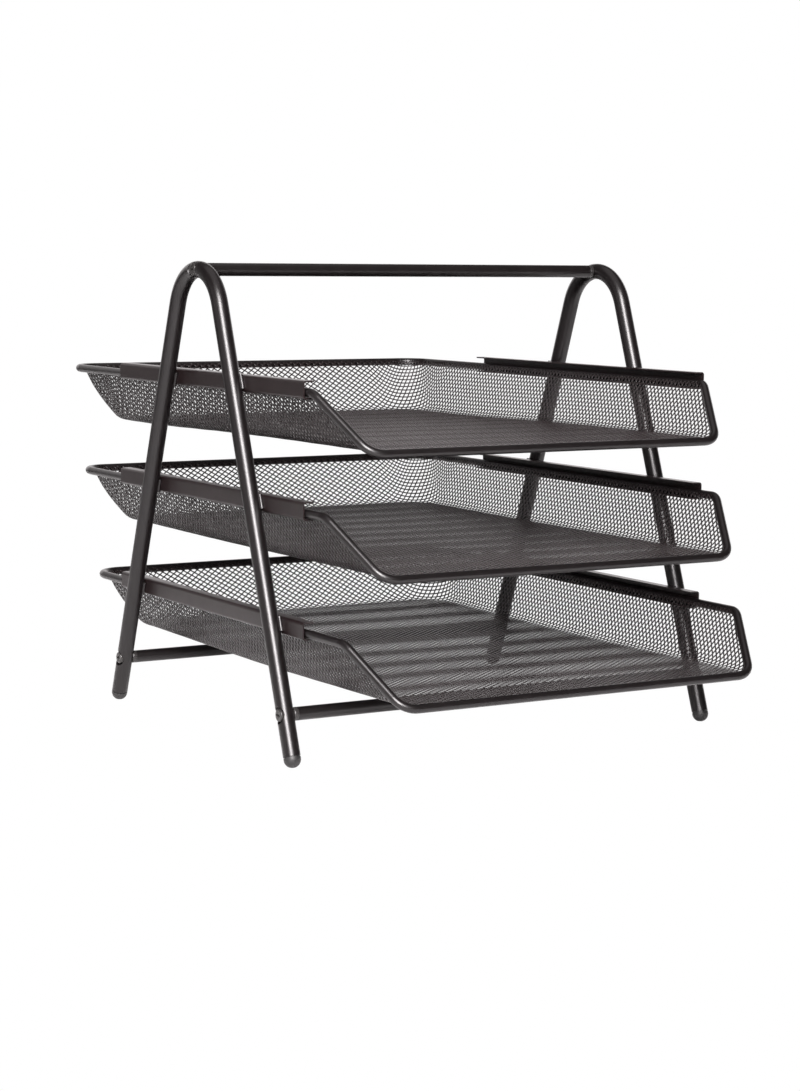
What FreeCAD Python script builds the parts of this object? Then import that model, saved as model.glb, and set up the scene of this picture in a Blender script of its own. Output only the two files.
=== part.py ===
"""Three-tier letter tray: two bent-tube end frames joined by a carrying bar and two lower bars,
six channel rails between them, and three mesh trays that slide forwards out of the rails.

Millimetres. +Z is up, X runs along the carrying bar, and the trays' open fronts face -Y.
The origin is on the floor, under the middle of the whole object as it rests.
"""
import math
import os

import FreeCAD
import Part

Vec = FreeCAD.Vector

# End frames: one tube each, bent to a narrow upside-down V.
frame_spacing = 272.4      # between the two frames' tube centres
frame_tube_d = 9.5
frame_tube_wall = 1.0
leg_spread = 115.0         # tube centre line from mid-depth, where it would meet the floor
leg_angle = 19.8           # each leg from the vertical, degrees
handle_height = 263.0      # centre of the carrying bar and of the tube at the apex

# Foot caps.
cap_d = 9.4
cap_flat_depth = 0.4       # how much of the round end is worn to a flat on the floor
cap_collar = 1.0           # straight part above the round end
cap_groove_length = 0.5    # narrow neck between the collar and the tube's end
cap_groove_depth = 0.6
cap_stem = 9.0             # length inside the tube
cap_stem_gap = 0.05        # between the stem and the tube's bore

# Bars and the screws that hold them.
bar_d = 7.4
bar_wall = 0.7
lower_bar_height = 27.0
insert_length = 15.0       # from its flange's face on the frame tube
insert_flange = 3.0        # the part seen between the frame tube and a bar's end
flange_face_round = 1.0    # at the frame tube
flange_back_round = 0.3    # at the bar's end
screw_d = 4.0
screw_head_d = 7.2
screw_head_h = 2.0
screw_edge_round = 0.8
screw_reach = 9.0          # thread inside the insert
screw_slack = 0.05         # radial gap between a shank and its hole
tube_hole_slack = 0.2      # radial gap between a shank and the frame tube
recess_length = 3.8
recess_width = 0.9
recess_depth = 1.1
head_dimple_depth = 2.4    # how far the tube is pressed in under a head
head_dimple_d = 8.2        # across its flat bottom
head_dimple_flare = 0.3    # how much its radius grows with each millimetre outwards
bar_dimple_depth = 0.8     # the same under an insert's flange
bar_dimple_d = 8.8

# Rails: C-shaped channels, open inwards.
rail_height = 9.8
rail_depth = 6.6
rail_sheet = 0.8
rail_outer_bend = 1.6
rail_front = -116.0
rail_rear = 120.0
rail_levels = {"bottom": 73.0, "middle": 137.0, "top": 201.0}
weld_radius = 1.2
weld_length = 8.0
weld_offset = 3.2          # from the tube's centre line, along the rail

# Trays.
rod_d = 4.8
rod_side_gap = 0.35        # between the rod and the rail's web
rod_rest_gap = 0.3         # between the rod and the rail's lower flange
tray_depth = 30.4          # from the rim's level rods down to its front rod
tray_rear = 204.0
side_inset = 11.5          # how far the mesh's sides lean in between the rods and the floor
rear_inset = 18.0          # the same at the back
floor_corner_bend = 26.0   # rear corners of the floor, seen from above
front_inset = 16.0         # how far the rod comes in, from its sides to the front corners
slope_run = 33.5           # front-to-back length of the rod's downward slope
rear_corner_bend = 16.0
slope_bend = 10.0
front_corner_bend = 12.0
mesh_sheet = 0.5
floor_bend = 8.0           # between the floor and the walls
floor_rise = 1.2           # the floor above the front rod's centre
mesh_edge_rise = 1.2       # the mesh's top edge above the level rods' centres
mesh_rod_gap = 0.03        # between the rod's inner side and the mesh
pulled_out = {"bottom": 35.0, "middle": 14.0, "top": 0.0}

# Worked out from the sizes above.
tube_r = frame_tube_d / 2
bar_r = bar_d / 2
rod_r = rod_d / 2
angle = math.radians(leg_angle)
leg_meeting_height = leg_spread / math.tan(angle)
arch_bend = (leg_meeting_height - handle_height) * math.sin(angle) / (1 - math.sin(angle))
frame_x = frame_spacing / 2
web_x = frame_x - tube_r
rod_x = web_x - rail_sheet - rod_side_gap - rod_r
rod_above_rail = rod_r + rod_rest_gap + rail_sheet - rail_height / 2
wall_height = tray_depth - floor_rise
floor_z = -wall_height
mesh_to_rod = rod_r + mesh_sheet / 2 + mesh_rod_gap
slope_length = math.sqrt(slope_run ** 2 + front_inset ** 2 + tray_depth ** 2)
slope_turn = math.acos(slope_run / slope_length)
slope_start = rail_front - slope_bend * math.tan(slope_turn / 2)
front_y = slope_start - slope_run
front_most = front_y - rod_r - pulled_out["bottom"]
rear_most = tray_rear + rod_r
centre_shift = -(front_most + rear_most) / 2

SIDES = {"left": -1, "right": 1}
ENDS = {"front": -1, "rear": 1}


def fused(pieces):
    """One solid from pieces that meet or overlap."""
    return pieces[0].multiFuse(pieces[1:]).removeSplitter().Solids[0]


def biggest(shape):
    """The largest separate solid of a shape."""
    return max(shape.Solids, key=lambda solid: solid.Volume)


def cylinder_x(radius, x_from, x_to, y, z):
    """A cylinder along X between two x values."""
    low = min(x_from, x_to)
    return Part.makeCylinder(radius, abs(x_to - x_from), Vec(low, y, z), Vec(1, 0, 0))


def box_between(low, high):
    """An upright box between two opposite corners."""
    return Part.makeBox(high[0] - low[0], high[1] - low[1], high[2] - low[2], Vec(*low))


def bend_at(before, corner, after, bend):
    """Start, centre, end and turning axis of the round bend at a path's corner."""
    back = (before - corner).normalize()
    ahead = (after - corner).normalize()
    half = back.getAngle(ahead) / 2
    reach = bend / math.tan(half)
    start = corner + back * reach
    end = corner + ahead * reach
    centre = corner + (back + ahead).normalize() * (bend / math.sin(half))
    axis = back.cross(start - centre)
    return start, centre, end, axis, 180 - 2 * math.degrees(half)


def bent_rod(radius, corners, bends, closed=False):
    """A round rod along straight runs joined by round bends, one bend per inner corner."""
    count = len(corners)
    if closed:
        turns = [bend_at(corners[i - 1], corners[i], corners[(i + 1) % count], bends[i])
                 for i in range(count)]
        run_ends = [(turns[i][2], turns[(i + 1) % count][0]) for i in range(count)]
    else:
        turns = [bend_at(corners[i], corners[i + 1], corners[i + 2], bends[i])
                 for i in range(count - 2)]
        stops = [corners[0]] + [point for turn in turns for point in (turn[0], turn[2])] + [corners[-1]]
        run_ends = list(zip(stops[0::2], stops[1::2]))
    pieces = []
    for start, end in run_ends:
        run = end - start
        pieces.append(Part.makeCylinder(radius, run.Length, start, run))
    for start, centre, _, axis, degrees in turns:
        section = Part.Face(Part.Wire(Part.makeCircle(radius, start, (start - centre).cross(axis))))
        pieces.append(section.revolve(centre, axis, degrees))
    return fused(pieces)


def leg_point(end, height):
    """Depth position of a leg's centre line at a height."""
    return ENDS[end] * (leg_meeting_height - height) * math.tan(angle)


def leg_up(end):
    """Unit direction up a leg."""
    return Vec(0, -ENDS[end] * math.sin(angle), math.cos(angle))


def cap_centre(x, end):
    """Centre of a foot cap's round end."""
    height = cap_d / 2 - cap_flat_depth
    return Vec(x, leg_point(end, height), height)


def screw_places():
    """Depth and height of every place where a bar meets the end frames."""
    places = {"carry": (0.0, handle_height)}
    for end in ENDS:
        places[end] = (leg_point(end, lower_bar_height), lower_bar_height)
    return places


def weld_beads(side, x):
    """Beads in the notches between one frame's legs and its rails, trimmed at the rails' webs."""
    beads = []
    bead_x = SIDES[side] * (web_x + (tube_r - math.sqrt(tube_r ** 2 - weld_offset ** 2)) / 2)
    for level in rail_levels.values():
        for end in ENDS:
            up = leg_up(end)
            across = Vec(0, up.z, -up.y)
            middle = Vec(bead_x, leg_point(end, level), level)
            for way in (-1, 1):
                base = middle + across * (way * weld_offset) - up * (weld_length / 2)
                beads.append(Part.makeCylinder(weld_radius, weld_length, base, up))
    inner = x - SIDES[side] * tube_r
    beyond = inner - SIDES[side] * frame_tube_d
    trim = box_between((min(inner, beyond), -frame_spacing, 0),
                       (max(inner, beyond), frame_spacing, handle_height))
    return [bead.cut(trim) for bead in beads]


def pressed_space(seat, way, radius, flare):
    """The round space over a flat pressed into a frame tube, from its seat outwards along X."""
    if flare == 0:
        return Part.makeCylinder(radius, frame_tube_d, seat, Vec(way, 0, 0))
    return Part.makeCone(radius, radius + flare * frame_tube_d, frame_tube_d, seat, Vec(way, 0, 0))


def end_frame(side):
    """One end frame: bent tube, pressed flat and drilled at each screw, with its weld beads."""
    sign = SIDES[side]
    x = sign * frame_x
    tube_end = cap_d / 2 - cap_flat_depth + (cap_collar + cap_groove_length) * math.cos(angle)
    corners = [Vec(x, leg_point("front", tube_end), tube_end),
               Vec(x, 0, leg_meeting_height),
               Vec(x, leg_point("rear", tube_end), tube_end)]
    outside = bent_rod(tube_r, corners, [arch_bend])
    inside = bent_rod(tube_r - frame_tube_wall, corners, [arch_bend])
    dimples = ((head_dimple_d, head_dimple_depth, head_dimple_flare, sign),
               (bar_dimple_d, bar_dimple_depth, 0, -sign))
    for y, z in screw_places().values():
        for dimple_d, depth, flare, way in dimples:
            seat = Vec(x + way * (tube_r - depth), y, z)
            outside = outside.cut(pressed_space(seat, way, dimple_d / 2, flare))
            inner_seat = seat - Vec(way * frame_tube_wall, 0, 0)
            inside = inside.cut(pressed_space(inner_seat, way, dimple_d / 2 + frame_tube_wall, flare))
    tube = outside.cut(inside)
    for y, z in screw_places().values():
        hole_r = screw_d / 2 + tube_hole_slack
        tube = tube.cut(cylinder_x(hole_r, x - frame_tube_d, x + frame_tube_d, y, z))
    return fused([tube] + weld_beads(side, x))


def foot_cap(side, end):
    """Push-in cap: round end with a small flat on the floor, collar, neck, and a stem up the tube."""
    up = leg_up(end)
    centre = cap_centre(SIDES[side] * frame_x, end)
    tube_end = cap_collar + cap_groove_length
    cap = fused([Part.makeSphere(cap_d / 2, centre), Part.makeCylinder(cap_d / 2, cap_collar, centre, up)])
    cap = cap.cut(Part.makeCylinder(cap_d, cap_d, centre + up * cap_collar, up))
    cap = fused([cap, Part.makeCylinder(cap_d / 2 - cap_groove_depth, tube_end, centre, up),
                 Part.makeCylinder(tube_r - frame_tube_wall - cap_stem_gap, tube_end + cap_stem, centre, up)])
    below = box_between((centre.x - cap_d, centre.y - cap_d, -cap_d),
                        (centre.x + cap_d, centre.y + cap_d, 0))
    return biggest(cap.cut(below))


def bar_half_length():
    """From mid-width to the flat pressed into each frame tube's inner side."""
    return frame_x - tube_r + bar_dimple_depth


def bar(place):
    """A straight tube between the flanges of its two inserts."""
    y, z = screw_places()[place]
    half = bar_half_length() - insert_flange
    outside = cylinder_x(bar_r, -half, half, y, z)
    return outside.cut(cylinder_x(bar_r - bar_wall, -half, half, y, z))


def threaded_insert(place, side):
    """The tapped plug in a bar's end, with its flange between the bar and the frame tube."""
    y, z = screw_places()[place]
    outer = SIDES[side] * bar_half_length()
    shoulder = outer - SIDES[side] * insert_flange
    inner = outer - SIDES[side] * insert_length
    flange = cylinder_x(bar_r, outer, shoulder, y, z)
    for x, rounding in ((outer, flange_face_round), (shoulder, flange_back_round)):
        rim = [edge for edge in flange.Edges if edge.Closed and abs(edge.BoundBox.Center.x - x) < 0.01]
        flange = flange.makeFillet(rounding, rim)
    plug = fused([flange, cylinder_x(bar_r - bar_wall, outer, inner, y, z)])
    return plug.cut(cylinder_x(screw_d / 2 + screw_slack, outer, inner, y, z))


def screw(place, side):
    """Pan-head screw with a cross recess, its head on the flat on the tube's outer side."""
    y, z = screw_places()[place]
    sign = SIDES[side]
    seat = sign * (frame_x + tube_r - head_dimple_depth)
    top = seat + sign * screw_head_h
    tip = sign * (bar_half_length() - screw_reach)
    head = cylinder_x(screw_head_d / 2, seat, top, y, z)
    rim = [edge for edge in head.Edges if abs(edge.BoundBox.Center.x - top) < 0.01 and edge.Closed]
    head = head.makeFillet(screw_edge_round, rim)
    floor = top - sign * recess_depth
    low_x = min(floor, top)
    high_x = max(floor, top)
    for half_y, half_z in ((recess_length / 2, recess_width / 2), (recess_width / 2, recess_length / 2)):
        head = head.cut(box_between((low_x, y - half_y, z - half_z), (high_x, y + half_y, z + half_z)))
    return fused([head, cylinder_x(screw_d / 2, seat, tip, y, z)])


def rail(level, side):
    """A folded channel welded to the inner side of both legs, open towards the trays."""
    z = rail_levels[level]
    length = rail_rear - rail_front
    outside = Part.makeBox(rail_depth, length, rail_height)
    corner_edges = [edge for edge in outside.Edges
                    if abs(edge.BoundBox.Center.x) < 0.01 and edge.BoundBox.YLength > length / 2]
    outside = outside.makeFillet(rail_outer_bend, corner_edges)
    inside = Part.makeBox(rail_depth, length, rail_height - 2 * rail_sheet, Vec(rail_sheet, 0, rail_sheet))
    corner_edges = [edge for edge in inside.Edges
                    if abs(edge.BoundBox.Center.x - rail_sheet) < 0.01 and edge.BoundBox.YLength > length / 2]
    inside = inside.makeFillet(rail_outer_bend - rail_sheet, corner_edges)
    channel = outside.cut(inside)
    channel.translate(Vec(-web_x, rail_front, z - rail_height / 2))
    if side == "right":
        channel = channel.mirror(Vec(0, 0, 0), Vec(1, 0, 0))
    return channel


def tray_rim():
    """The closed rod round a tray: level at the back and sides, sloping down to the open front."""
    front_x = rod_x - front_inset
    corners = [Vec(-rod_x, tray_rear, 0), Vec(rod_x, tray_rear, 0),
               Vec(rod_x, slope_start, 0), Vec(front_x, front_y, -tray_depth),
               Vec(-front_x, front_y, -tray_depth), Vec(-rod_x, slope_start, 0)]
    bends = [rear_corner_bend, rear_corner_bend, slope_bend, front_corner_bend, front_corner_bend, slope_bend]
    return bent_rod(rod_r, corners, bends, closed=True)


def rim_corner_bend(half_width, rear):
    """Bend of the mesh's rear corners at the level rods, where it just clears the rod's bend."""
    lean = math.atan(math.hypot(side_inset, rear_inset) / wall_height)
    clear = rear_corner_bend - mesh_to_rod / math.cos(lean)
    square = (half_width + rear - rod_x - tray_rear + 2 * rear_corner_bend) / math.sqrt(2)
    return (square - clear) / (math.sqrt(2) - 1)


def mesh_outline(height, offset, front):
    """The mesh's outline at a height above its floor, moved outwards by an offset."""
    side_lean = math.atan(side_inset / wall_height)
    rear_lean = math.atan(rear_inset / wall_height)
    rim_half = rod_x - mesh_to_rod / math.cos(side_lean)
    rim_rear = tray_rear - mesh_to_rod / math.cos(rear_lean)
    missing = wall_height - height
    half = rim_half + (offset - missing * math.sin(side_lean)) / math.cos(side_lean)
    rear = rim_rear + (offset - missing * math.sin(rear_lean)) / math.cos(rear_lean)
    rim_bend = rim_corner_bend(rim_half, rim_rear)
    bend = floor_corner_bend + (rim_bend - floor_corner_bend) * height / wall_height + offset
    z = floor_z + height
    diagonal = bend * math.sqrt(0.5)
    return Part.Wire([
        Part.makeLine(Vec(-half, front, z), Vec(-half, rear - bend, z)),
        Part.Arc(Vec(-half, rear - bend, z), Vec(bend - half - diagonal, rear - bend + diagonal, z),
                 Vec(bend - half, rear, z)).toShape(),
        Part.makeLine(Vec(bend - half, rear, z), Vec(half - bend, rear, z)),
        Part.Arc(Vec(half - bend, rear, z), Vec(half - bend + diagonal, rear - bend + diagonal, z),
                 Vec(half, rear - bend, z)).toShape(),
        Part.makeLine(Vec(half, rear - bend, z), Vec(half, front, z)),
        Part.makeLine(Vec(half, front, z), Vec(-half, front, z))])


def mesh_block(offset, top, front):
    """The space inside the mesh's walls and floor, moved outwards by an offset."""
    low = mesh_outline(-offset, offset, front)
    high = mesh_outline(top, offset, front)
    block = Part.makeLoft([low, high], True, True)
    bottom = [edge for edge in block.Edges
              if edge.BoundBox.ZLength < 0.01 and edge.BoundBox.ZMax < floor_z + mesh_sheet
              and edge.BoundBox.YMax > front + 1]
    return block.makeFillet(floor_bend + offset, bottom)


def mesh_pan(rim):
    """A tray's mesh as one thin sheet: floor, two sides and back, ending at the rod all round."""
    edge = wall_height + mesh_edge_rise
    outside = mesh_block(mesh_sheet / 2, edge, front_y - rod_d)
    inside = mesh_block(-mesh_sheet / 2, edge + mesh_sheet, front_y - 2 * rod_d)
    sheet = biggest(outside.cut(inside))
    sheet = biggest(sheet.cut(front_trim()))
    return biggest(sheet.cut(rim))


def front_trim():
    """Everything in front of the plane that the sloping rods and the front rod lie in."""
    slope = Vec(0, -slope_run, -tray_depth)
    top = Vec(-frame_spacing, slope_start, 0) - slope
    bottom = Vec(-frame_spacing, front_y, -tray_depth) + slope
    outline = [top, bottom, bottom - Vec(0, slope_run * 3, 0), top - Vec(0, slope_run * 5, 0), top]
    return Part.Face(Part.makePolygon(outline)).extrude(Vec(frame_spacing * 2, 0, 0))


def group(solids):
    """Several separate identical solids as one shape."""
    return Part.makeCompound(solids)


def build_nodes():
    """Every named node in its place at rest."""
    nodes = {}
    for side in SIDES:
        nodes["end_frame_" + side] = end_frame(side)
        for end in ENDS:
            nodes["foot_cap_" + end + "_" + side] = foot_cap(side, end)
        for level in rail_levels:
            nodes["rail_" + level + "_" + side] = rail(level, side)
    nodes["carry_bar"] = bar("carry")
    nodes["carry_bar_inserts"] = group([threaded_insert("carry", side) for side in SIDES])
    nodes["carry_bar_screws"] = group([screw("carry", side) for side in SIDES])
    for end in ENDS:
        nodes["lower_bar_" + end] = bar(end)
    nodes["lower_bar_inserts"] = group([threaded_insert(end, side) for end in ENDS for side in SIDES])
    nodes["lower_bar_screws"] = group([screw(end, side) for end in ENDS for side in SIDES])
    rim = tray_rim()
    pan = mesh_pan(rim)
    for level, height in rail_levels.items():
        place = Vec(0, -pulled_out[level], height + rod_above_rail)
        nodes["tray_rim_" + level] = rim.translated(place)
        nodes["tray_mesh_" + level] = pan.translated(place)
    return nodes


os.makedirs("parts", exist_ok=True)
for node_name, node_shape in build_nodes().items():
    placed = node_shape.translated(Vec(0, centre_shift, 0))
    placed.exportStep("parts/" + node_name + ".step")
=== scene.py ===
import math

import bpy
import numpy as np
from mathutils import Matrix, Vector


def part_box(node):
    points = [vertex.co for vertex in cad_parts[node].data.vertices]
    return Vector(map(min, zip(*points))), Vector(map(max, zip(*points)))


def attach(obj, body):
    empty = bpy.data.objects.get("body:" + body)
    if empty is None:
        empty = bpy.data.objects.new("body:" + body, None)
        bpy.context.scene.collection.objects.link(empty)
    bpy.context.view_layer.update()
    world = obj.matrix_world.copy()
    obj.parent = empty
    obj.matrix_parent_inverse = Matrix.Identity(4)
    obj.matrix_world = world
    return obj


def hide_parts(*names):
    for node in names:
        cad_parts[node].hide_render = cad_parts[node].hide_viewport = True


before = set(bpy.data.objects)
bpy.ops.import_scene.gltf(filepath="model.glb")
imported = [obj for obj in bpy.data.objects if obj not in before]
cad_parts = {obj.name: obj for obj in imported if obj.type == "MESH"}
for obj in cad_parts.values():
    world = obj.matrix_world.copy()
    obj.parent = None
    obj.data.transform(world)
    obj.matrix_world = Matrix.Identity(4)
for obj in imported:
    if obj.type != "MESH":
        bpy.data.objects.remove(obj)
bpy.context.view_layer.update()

# Metres. +Z is up, X runs along the carrying bar, the trays' open fronts face -Y.
LEVELS = ("bottom", "middle", "top")
SIDES = ("left", "right")

# The tray's rod and the folded mesh sheet, as in the CAD model. The walls lean in by the insets.
rod_r = 0.0024
rear_corner_bend = 0.016
slope_run = 0.0335         # how far the side rods run forward while they slope down
side_inset = 0.0115
rear_inset = 0.018
floor_corner_bend = 0.026
floor_bend = 0.008
floor_rise = 0.0012        # the mesh floor's middle above the front rod's middle
mesh_edge_rise = 0.0012    # the sheet's upper edge above the rod's middle
mesh_rod_gap = 0.00003
mesh_sheet = 0.0005        # the CAD model's closed sheet, which the strands lie in

# The expanded metal: diamonds between strands, in the flat sheet.
strand_sheet = 0.00034
strand_tilt = 0.00004      # how far a strand's edges rise and dip
strand_width = 0.00076
diamond_length = 0.0049    # along X on the floor and the back, up the slope on the sides
diamond_width = 0.0035

# How a worn-in floor sags between its rods: depth, and how far back, as a share of the tray.
FLOOR_SAG = {"bottom": (0.0016, 0.45), "middle": (0.0006, 0.5), "top": (0.0024, 0.8)}
sag_spread = 0.3

# Cross waves that the mesh keeps from its rolling: pitch from front to back, and slope.
WAVE_PITCH = {"bottom": 0.037, "middle": 0.030, "top": 0.034}
wave_slope = math.radians(3.0)
wave_drift = 0.5           # how far the waves wander along X, in radians

# How far the pressed rear corners bulge beyond a straight slant.
corner_belly = 0.0032

# The coats' grain: patches of colour, patches of gloss, and orange peel, as noise scales.
mottle_scale = 70
haze_scale = 240
peel_scale = 1900
peel_detail = 3
peel_height = 0.0001
NOISE_MIDDLE = (0.3, 0.7)  # the part of the noise's range that nearly all of it falls in

# The studio. Lights are in watts, angles in degrees, and the lens in millimetres.
LIGHT_COLOUR = (1.0, 0.955, 0.96)
LIGHT_AIM = (0, 0, 0.13)
KEY_PLACE = (-0.96, -1.60, 1.19)
key_spread = 75
BACKDROP_HEADING = (0.5, 0.86, 0.0)
BACKDROP_EDGE = (0.40, 0.92)     # closeness to that heading where the backdrop begins and is full
BACKDROP_TOP = (0.30, 0.55)      # how steeply upwards it starts to fade and has faded
backdrop_above = 0.08            # what is left of it higher up
BACKDROP_LEVELS = (0.06, 1.5)    # strength away from it, and at its brightest
floor_grey = 0.8
floor_half_side = 20.0
CAMERA_PLACE = (-0.7179, -1.2204, 0.2680)
camera_heading, camera_tilt, camera_roll = -30.494, -6.816, -0.419
camera_lens = 78.3
camera_sensor = 36.0


def pan_shape(level):
    """Sizes of a tray's rod and of the mesh pan in it, read from the rod's CAD box."""
    low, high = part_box("tray_rim_" + level)
    half_width, rear = high.x - rod_r, high.y - rod_r
    depth = high.z - low.z - 2 * rod_r
    height = depth - floor_rise
    to_rod = rod_r + mesh_sheet / 2 + mesh_rod_gap
    rim = np.array([half_width - to_rod * math.hypot(1, side_inset / height),
                    rear - to_rod * math.hypot(1, rear_inset / height)])
    clear = rear_corner_bend - to_rod * math.hypot(1, side_inset / height, rear_inset / height)
    square = (rim.sum() - half_width - rear + 2 * rear_corner_bend) / math.sqrt(2)
    rim_bend = (square - clear) / (math.sqrt(2) - 1)
    return {
        "front": low.y + rod_r,
        "rear": rear,
        "rim_z": high.z - rod_r,
        "depth": depth,
        "height": height,
        "floor_z": high.z - rod_r - height,
        "rim_bend": rim_bend,
        "rim_axis": rim - rim_bend,
        "floor_axis": rim - np.array([side_inset, rear_inset]) - floor_corner_bend,
    }


def wall_profile(reach, angle, pan):
    """The sheet at a distance from the floor corner's axis, measured along the sheet.

    The angle is 0 towards the sides and a quarter turn towards the back. Returns the sheet's
    height above the floor, its slope, its distance outside a plain slant wall, which is 0
    except in the floor bend, and whether it is still below the sheet's upper edge.
    """
    shift = pan["rim_axis"] - pan["floor_axis"]
    inset = shift[0] * np.cos(angle) + shift[1] * np.sin(angle) + pan["rim_bend"] - floor_corner_bend
    lean = np.arctan(inset / pan["height"])
    full_turn = math.pi / 2 - lean
    setback = floor_bend * np.tan(full_turn / 2)
    bend_start = floor_corner_bend - setback
    turn = np.clip((reach - bend_start) / floor_bend, 0, full_turn)
    wall_length = (pan["height"] + mesh_edge_rise) / np.cos(lean) - setback
    beyond = np.clip(reach - bend_start - floor_bend * full_turn, 0, wall_length)
    out = np.minimum(reach, bend_start) + floor_bend * np.sin(turn) + beyond * np.sin(lean)
    up = floor_bend * (1 - np.cos(turn)) + beyond * np.cos(lean)
    outside = out - floor_corner_bend - inset * up / pan["height"]
    return up, turn, outside, beyond < wall_length


def front_edge(up, pan):
    """Where the sheet ends at the front, at a height above its floor."""
    return pan["front"] + slope_run * (floor_rise + up) / pan["depth"]


def from_corner_axis(flat, pan):
    """Distance and angle of flat-sheet points from the axis of the floor's rear corner."""
    away = np.stack([np.abs(flat[:, 0]), flat[:, 1]], axis=1) - pan["floor_axis"]
    away = np.maximum(away, 0)
    return np.hypot(away[:, 0], away[:, 1]), np.arctan2(away[:, 1], away[:, 0])


def fold_sheet(flat, lift, pan):
    """Points of the flat sheet, each lifted off its middle, folded into the tray's pan.

    A corner is folded on a bend that widens from the floor to the rim. A point's share of the
    turn round the flat corner is its share of the way round that bend and the straight runs
    beside it, so that the mesh stays even.
    """
    reach, angle = from_corner_axis(flat, pan)
    up, turn, outside, _ = wall_profile(reach, angle, pan)
    share = up / pan["height"]
    axis = pan["floor_axis"] + (pan["rim_axis"] - pan["floor_axis"]) * share[:, None]
    bend = floor_corner_bend + (pan["rim_bend"] - floor_corner_bend) * share
    side_run = axis[:, 1] - pan["floor_axis"][1]
    back_run = axis[:, 0] - pan["floor_axis"][0]
    arc = bend * math.pi / 2
    along = angle / (math.pi / 2) * (side_run + arc + back_run)
    heading = np.clip((along - side_run) / bend, 0, math.pi / 2)
    outward = np.stack([np.cos(heading), np.sin(heading)], axis=1)
    belly = corner_belly * 4 * share * (1 - share) * np.sin(2 * heading) ** 2
    place = axis + outward * (bend + outside + belly - lift * np.sin(turn))[:, None]
    place[:, 1] += np.minimum(along - side_run, 0)
    place[:, 0] -= np.maximum(along - side_run - arc, 0)
    width = np.abs(flat[:, 0])
    beside = flat[:, 1] <= pan["floor_axis"][1]
    behind = width <= pan["floor_axis"][0]
    place[beside, 1] = np.maximum(flat[beside, 1], front_edge(up[beside], pan))
    place[behind, 0] = width[behind]
    points = np.empty((len(flat), 3))
    points[:, 0] = place[:, 0] * np.sign(flat[:, 0])
    points[:, 1] = place[:, 1]
    points[:, 2] = pan["floor_z"] + up + lift * np.cos(turn)
    return points


def sag_floor(points, level, pan):
    """Lets the floor and its bends hang a little and roll in waves, less towards the rods."""
    depth, middle = FLOOR_SAG[level]
    length = pan["rear"] - pan["front"]
    share = (points[:, 1] - pan["front"]) / length
    bulge = depth * np.exp(-((share - middle) / sag_spread) ** 2)
    pitch = WAVE_PITCH[level]
    phase = 2 * math.pi * points[:, 1] / pitch + wave_drift * np.sin(points[:, 0] / pitch)
    wave = pitch / (2 * math.pi) * math.tan(wave_slope) * np.sin(phase)
    floor_reach = pan["floor_axis"] + floor_corner_bend
    from_bends = np.minimum(floor_reach[0] - np.abs(points[:, 0]), floor_reach[1] - points[:, 1])
    flat_part = np.clip(from_bends / floor_corner_bend, 0, 1)
    clear = np.clip(share * length / floor_corner_bend, 0, 1)
    hang = np.clip((pan["rim_z"] - points[:, 2]) / pan["height"], 0, 1)
    points[:, 2] -= clear * (hang * bulge + flat_part * wave)
    return points


def lattice_place(cells, pan):
    """Flat-sheet position of lattice places counted in half pitches from the front."""
    return np.stack([cells[:, 0] * diamond_length / 2,
                     pan["front"] + cells[:, 1] * diamond_width / 2], axis=1)


def diamond_cells(pan, side):
    """Lattice places of the holes in one half of a tray's flat sheet, in half pitches."""
    floor_reach = pan["floor_axis"] + floor_corner_bend
    most_wall = pan["height"] * 2
    columns = int((floor_reach[0] + most_wall) / diamond_length * 2)
    rows = int((floor_reach[1] + most_wall - pan["front"]) / diamond_width * 2)
    column, row = np.meshgrid(np.arange(-columns, columns + 1), np.arange(0, rows + 1))
    cells = np.stack([column.ravel(), row.ravel()], axis=1)
    cells = cells[(cells.sum(axis=1) % 2) == 1]
    cells = cells[cells[:, 0] < 0] if side == "left" else cells[cells[:, 0] >= 0]
    flat = lattice_place(cells, pan)
    reach, angle = from_corner_axis(flat, pan)
    up, _, _, below_edge = wall_profile(reach, angle, pan)
    return cells[below_edge & (flat[:, 1] > front_edge(up, pan))]


def lattice_faces(knot_of, hole_of, below):
    """Quads of the strands round every hole, and of the rim, where a strand has one hole only.

    A point's twin on the sheet's lower side is numbered that much higher.
    """
    faces = []
    edges = []
    for start in range(4):
        end = (start + 1) % 4
        knot_a, knot_b = knot_of[:, start], knot_of[:, end]
        hole_a, hole_b = hole_of[:, start], hole_of[:, end]
        faces.append(np.stack([knot_a, knot_b, hole_b, hole_a], axis=1))
        faces.append(np.stack([knot_b, knot_a, hole_a, hole_b], axis=1) + below)
        faces.append(np.stack([hole_a, hole_b, hole_b + below, hole_a + below], axis=1))
        edges.append(np.stack([knot_a, knot_b], axis=1))
    edges = np.concatenate(edges)
    _, first, count = np.unique(np.sort(edges, axis=1), axis=0, return_index=True, return_counts=True)
    start, end = edges[first[count == 1]].T
    rim = np.stack([end, start, start + below, end + below], axis=1)
    return np.concatenate(faces), rim


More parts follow.
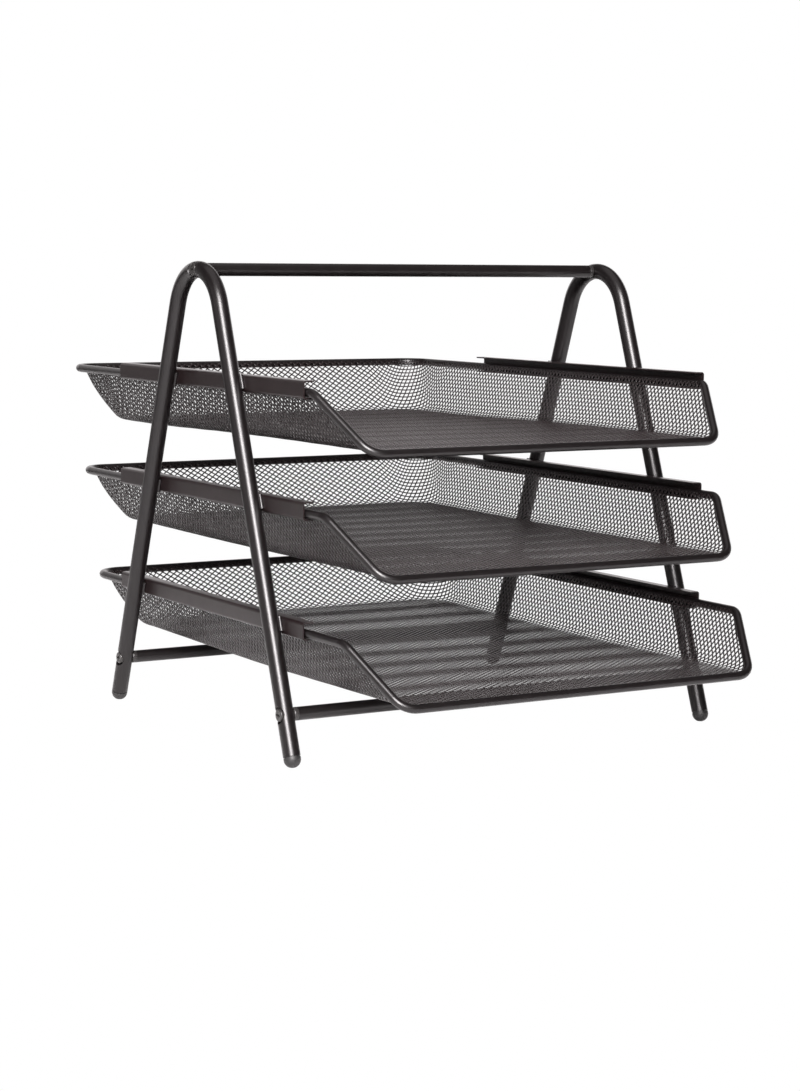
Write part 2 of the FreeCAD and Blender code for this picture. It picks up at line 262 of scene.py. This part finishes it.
def lattice_mesh(name, level, side):
    """Half of a tray's expanded-metal pan as one closed mesh with a hole in every diamond."""
    pan = pan_shape(level)
    cells = diamond_cells(pan, side)
    corners = np.array([[-1, 0], [0, -1], [1, 0], [0, 1]])
    knots, knot_of = np.unique((cells[:, None, :] + corners).reshape(-1, 2), axis=0,
                               return_inverse=True)
    slope = math.atan2(diamond_width, diamond_length)
    hole_half = np.array([diamond_length / 2 - strand_width / 2 / math.sin(slope),
                          diamond_width / 2 - strand_width / 2 / math.cos(slope)])
    hole_flat = (lattice_place(cells, pan)[:, None, :] + corners * hole_half).reshape(-1, 2)
    hole_tilt = np.tile(corners[:, 1] * strand_tilt, len(cells))
    flat = np.concatenate([lattice_place(knots, pan), hole_flat])
    tilt = np.concatenate([np.zeros(len(knots)), hole_tilt])
    upper = sag_floor(fold_sheet(flat, tilt + strand_sheet / 2, pan), level, pan)
    lower = sag_floor(fold_sheet(flat, tilt - strand_sheet / 2, pan), level, pan)
    hole_of = len(knots) + np.arange(len(hole_flat))
    faces, rim = lattice_faces(knot_of.reshape(-1, 4), hole_of.reshape(-1, 4), len(flat))
    return mesh_from_arrays(name, np.concatenate([upper, lower]), np.concatenate([faces, rim]), len(rim))


def mesh_from_arrays(name, points, quads, rim_count):
    """A smooth-shaded Blender mesh of points and quads, the last of them a rim with sharp edges."""
    mesh = bpy.data.meshes.new(name)
    mesh.vertices.add(len(points))
    mesh.vertices.foreach_set("co", points.astype(np.float32).ravel())
    mesh.loops.add(len(quads) * 4)
    mesh.loops.foreach_set("vertex_index", quads.astype(np.int32).ravel())
    mesh.polygons.add(len(quads))
    mesh.polygons.foreach_set("loop_start", np.arange(len(quads), dtype=np.int32) * 4)
    mesh.update(calc_edges=True)
    edge_of = np.empty(len(quads) * 4, dtype=np.int32)
    mesh.loops.foreach_get("edge_index", edge_of)
    sharp = np.zeros(len(mesh.edges), dtype=bool)
    sharp[edge_of[-4 * rim_count:]] = True
    mesh.edges.foreach_set("use_edge_sharp", sharp)
    mesh.validate()
    return mesh


def add_lattice_pans(material):
    """The see-through pans in place of the CAD model's plain sheets."""
    for level in LEVELS:
        for side in SIDES:
            name = "mesh_pan_" + level + "_" + side
            mesh = lattice_mesh(name, level, side)
            mesh.materials.append(material)
            pan = bpy.data.objects.new(name, mesh)
            bpy.context.scene.collection.objects.link(pan)
            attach(pan, "tray_" + level)
            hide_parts("tray_mesh_" + level)


def new_material(name):
    """A node material, its nodes, and its Principled shader."""
    material = bpy.data.materials.new(name)
    material.use_nodes = True
    return material, material.node_tree, material.node_tree.nodes["Principled BSDF"]


def add_noise(tree, scale, detail=2.0):
    """Noise over the piece's own place in the frame, so that it has one scale everywhere."""
    place = tree.nodes.new("ShaderNodeTexCoord")
    noise = tree.nodes.new("ShaderNodeTexNoise")
    noise.inputs["Scale"].default_value = scale
    noise.inputs["Detail"].default_value = detail
    tree.links.new(place.outputs["Object"], noise.inputs["Vector"])
    return noise.outputs["Fac"]


def ranged(tree, value, limits, levels, kind="LINEAR"):
    """A value turned from one level to the other between two limits."""
    spread = tree.nodes.new("ShaderNodeMapRange")
    spread.interpolation_type = kind
    spread.inputs["From Min"].default_value, spread.inputs["From Max"].default_value = limits
    spread.inputs["To Min"].default_value, spread.inputs["To Max"].default_value = levels
    tree.links.new(value, spread.inputs["Value"])
    return spread.outputs["Result"]


def blended(tree, value, colour_a, colour_b):
    """A colour between two others, by a value."""
    mix = tree.nodes.new("ShaderNodeMix")
    mix.data_type = "RGBA"
    tree.links.new(value, mix.inputs["Factor"])
    mix.inputs["A"].default_value = (*colour_a, 1)
    mix.inputs["B"].default_value = (*colour_b, 1)
    return mix.outputs["Result"]


def powder_coat(name, dark, light, smooth, rough, grain=0.01):
    """Baked powder coat: faintly mottled, with the fine orange peel of the powder."""
    material, tree, shader = new_material(name)
    mottle = ranged(tree, add_noise(tree, mottle_scale), NOISE_MIDDLE, (0, 1))
    tree.links.new(blended(tree, mottle, dark, light), shader.inputs["Base Color"])
    haze = ranged(tree, add_noise(tree, haze_scale), NOISE_MIDDLE, (smooth, rough))
    tree.links.new(haze, shader.inputs["Roughness"])
    bump = tree.nodes.new("ShaderNodeBump")
    bump.inputs["Strength"].default_value = grain
    bump.inputs["Distance"].default_value = peel_height
    tree.links.new(add_noise(tree, peel_scale, peel_detail), bump.inputs["Height"])
    tree.links.new(bump.outputs["Normal"], shader.inputs["Normal"])
    return material


def finish_cad_nodes(materials, tube_coat, hardware):
    """Gives each CAD node the material of its kind: rods, tubes and bars share one coat."""
    for name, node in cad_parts.items():
        material = hardware if name.endswith(("_inserts", "_screws")) else tube_coat
        for kind in materials:
            if name.startswith(kind):
                material = materials[kind]
        node.data.materials.clear()
        node.data.materials.append(material)


def area_light(name, place, size, watts, spread=180):
    """A soft rectangular light at a place, turned towards the object; its spread is in degrees."""
    data = bpy.data.lights.new(name, "AREA")
    data.shape = "RECTANGLE"
    data.size, data.size_y = size
    data.energy = watts
    data.color = LIGHT_COLOUR
    data.spread = math.radians(spread)
    light = bpy.data.objects.new(name, data)
    light.location = place
    light.rotation_euler = (Vector(LIGHT_AIM) - Vector(place)).to_track_quat("-Z", "Y").to_euler()
    bpy.context.scene.collection.objects.link(light)


def add_lights():
    """A key light front left with a softer one round it, and faint fills from above and the left."""
    area_light("key", KEY_PLACE, size=(0.80, 1.5), watts=27, spread=key_spread)
    area_light("key_surround", KEY_PLACE, size=(1.4, 1.6), watts=10, spread=key_spread)
    area_light("overhead", (0.0, 0.1, 1.6), size=(1.4, 1.4), watts=3.5)
    area_light("left_fill", (-1.7, 0.2, 0.5), size=(1.4, 1.2), watts=3.0)


def camera_only(tree, seen, met, output):
    """Gives the camera one shader of the surroundings, and every other ray another."""
    path = tree.nodes.new("ShaderNodeLightPath")
    mix = tree.nodes.new("ShaderNodeMixShader")
    tree.links.new(path.outputs["Is Camera Ray"], mix.inputs["Fac"])
    tree.links.new(met, mix.inputs[1])
    tree.links.new(seen, mix.inputs[2])
    tree.links.new(mix.outputs["Shader"], output)


def add_floor():
    """A floor under the object, white to the camera, that throws little light back up at it."""
    mesh = bpy.data.meshes.new("floor")
    side = floor_half_side
    corners = [(-side, -side, 0), (side, -side, 0), (side, side, 0), (-side, side, 0)]
    mesh.from_pydata(corners, [], [(0, 1, 2, 3)])
    material, tree, shader = new_material("pale_floor")
    shader.inputs["Base Color"].default_value = (floor_grey, floor_grey, floor_grey, 1)
    shader.inputs["Roughness"].default_value = 0.9
    shader.inputs["Specular IOR Level"].default_value = 0.1
    white = tree.nodes.new("ShaderNodeEmission")
    white.inputs["Color"].default_value = (1, 1, 1, 1)
    camera_only(tree, white.outputs["Emission"], shader.outputs["BSDF"],
                tree.nodes["Material Output"].inputs["Surface"])
    mesh.materials.append(material)
    floor = bpy.data.objects.new("floor", mesh)
    bpy.context.scene.collection.objects.link(floor)


def add_world():
    """Surroundings, white to the camera, that light the object from a low backdrop behind it."""
    world = bpy.data.worlds.new("studio")
    world.use_nodes = True
    tree = world.node_tree
    white = tree.nodes["Background"]
    white.inputs["Color"].default_value = (1, 1, 1, 1)
    place = tree.nodes.new("ShaderNodeTexCoord")
    towards = tree.nodes.new("ShaderNodeVectorMath")
    towards.operation = "DOT_PRODUCT"
    towards.inputs[1].default_value = BACKDROP_HEADING
    tree.links.new(place.outputs["Generated"], towards.inputs[0])
    split = tree.nodes.new("ShaderNodeSeparateXYZ")
    tree.links.new(place.outputs["Generated"], split.inputs["Vector"])
    behind = ranged(tree, towards.outputs["Value"], BACKDROP_EDGE, (0, 1), "SMOOTHSTEP")
    low_down = ranged(tree, split.outputs["Z"], BACKDROP_TOP, (1, backdrop_above), "SMOOTHSTEP")
    backdrop = tree.nodes.new("ShaderNodeMath")
    backdrop.operation = "MULTIPLY"
    tree.links.new(behind, backdrop.inputs[0])
    tree.links.new(low_down, backdrop.inputs[1])
    strength = ranged(tree, backdrop.outputs["Value"], (0, 1), BACKDROP_LEVELS, "SMOOTHSTEP")
    soft = tree.nodes.new("ShaderNodeBackground")
    soft.inputs["Color"].default_value = (*LIGHT_COLOUR, 1)
    tree.links.new(strength, soft.inputs["Strength"])
    camera_only(tree, white.outputs["Background"], soft.outputs["Background"],
                tree.nodes["World Output"].inputs["Surface"])
    bpy.context.scene.world = world


def turned(degrees, axis):
    """A rotation matrix."""
    return Matrix.Rotation(math.radians(degrees), 4, axis)


def add_camera():
    """The camera, seeing the object from its front left and a little above."""
    data = bpy.data.cameras.new("camera")
    data.lens = camera_lens
    data.sensor_width = camera_sensor
    camera = bpy.data.objects.new("camera", data)
    camera.location = CAMERA_PLACE
    level_view = turned(90, "X")
    aim = turned(camera_heading, "Z") @ turned(camera_tilt, "X") @ turned(camera_roll, "Y")
    camera.rotation_euler = (aim @ level_view).to_euler()
    bpy.context.scene.collection.objects.link(camera)
    bpy.context.scene.camera = camera


coat = powder_coat("frame_coat", dark=(0.0026, 0.0018, 0.0019), light=(0.0038, 0.0028, 0.0029),
                   smooth=0.31, rough=0.34)
rail_coat = powder_coat("rail_coat", dark=(0.0060, 0.0030, 0.0032), light=(0.0080, 0.0045, 0.0047),
                        smooth=0.33, rough=0.36)
mesh_coat = powder_coat("mesh_coat", dark=(0.0060, 0.0038, 0.0040), light=(0.0100, 0.0068, 0.0070),
                        smooth=0.30, rough=0.34)
rubber = powder_coat("foot_rubber", dark=(0.010, 0.010, 0.010), light=(0.016, 0.016, 0.016),
                     smooth=0.42, rough=0.55, grain=0.2)
black_steel = powder_coat("screw_black", dark=(0.014, 0.013, 0.013), light=(0.022, 0.021, 0.020),
                          smooth=0.25, rough=0.34, grain=0.05)

finish_cad_nodes({"foot_cap": rubber, "rail": rail_coat, "tray_mesh": mesh_coat},
                 tube_coat=coat, hardware=black_steel)
add_lattice_pans(mesh_coat)
add_floor()
add_world()
add_lights()
add_camera()
bpy.context.scene.view_settings.view_transform = "Standard"
